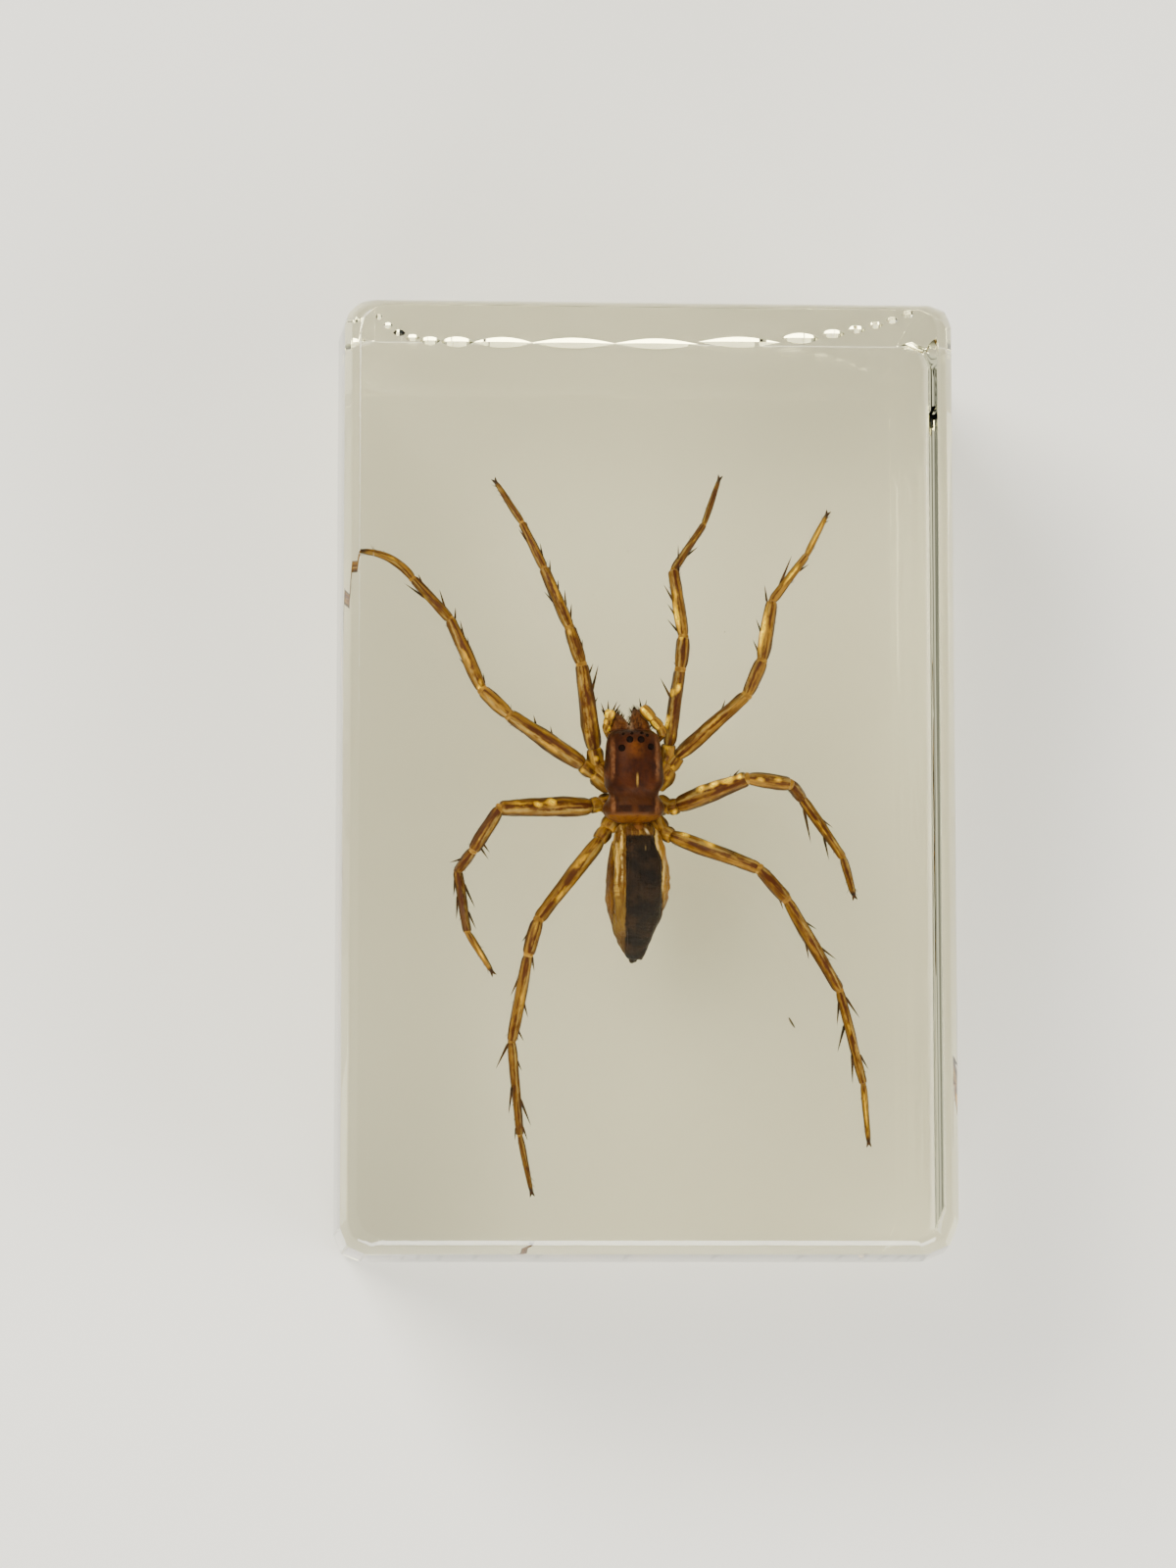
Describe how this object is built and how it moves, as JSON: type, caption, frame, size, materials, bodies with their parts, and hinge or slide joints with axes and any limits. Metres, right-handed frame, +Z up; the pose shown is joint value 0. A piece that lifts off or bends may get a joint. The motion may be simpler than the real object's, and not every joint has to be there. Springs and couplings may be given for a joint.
{
  "type": "spider specimen in clear resin block",
  "caption": "Clear cast resin specimen block with chamfered edges, lying on its back face, with a dried spider sealed in its middle plane.",
  "frame": {"origin": "middle of the flat back face, which rests on the surface", "axes": "+Z up out of the front viewing face, +Y along the block's length towards the spider's head end, +X across its width to the right as seen from the front"},
  "size_m": [0.0286, 0.044, 0.017],
  "materials": {
    "clear_resin": "hand-polished clear cast resin, transmission 1, IOR 1.50, faint warm absorption",
    "carapace_cuticle": "dark reddish-brown cuticle with paler side strips",
    "leg_cuticle": "translucent amber-brown cuticle",
    "abdomen_cuticle": "wrinkled dark brown cuticle with golden folds at the sides",
    "pale_cuticle": "thin golden cuticle of the leg bases, palps and pedicel",
    "spine": "dark brown spines, bristles and claws",
    "eye": "glossy black lenses",
    "inclusion": "tiny pale specks and one dark sliver caught in the casting"
  },
  "bodies": {
    "root": {"resin_block": "clear_resin"}
  },
  "joints": []
}
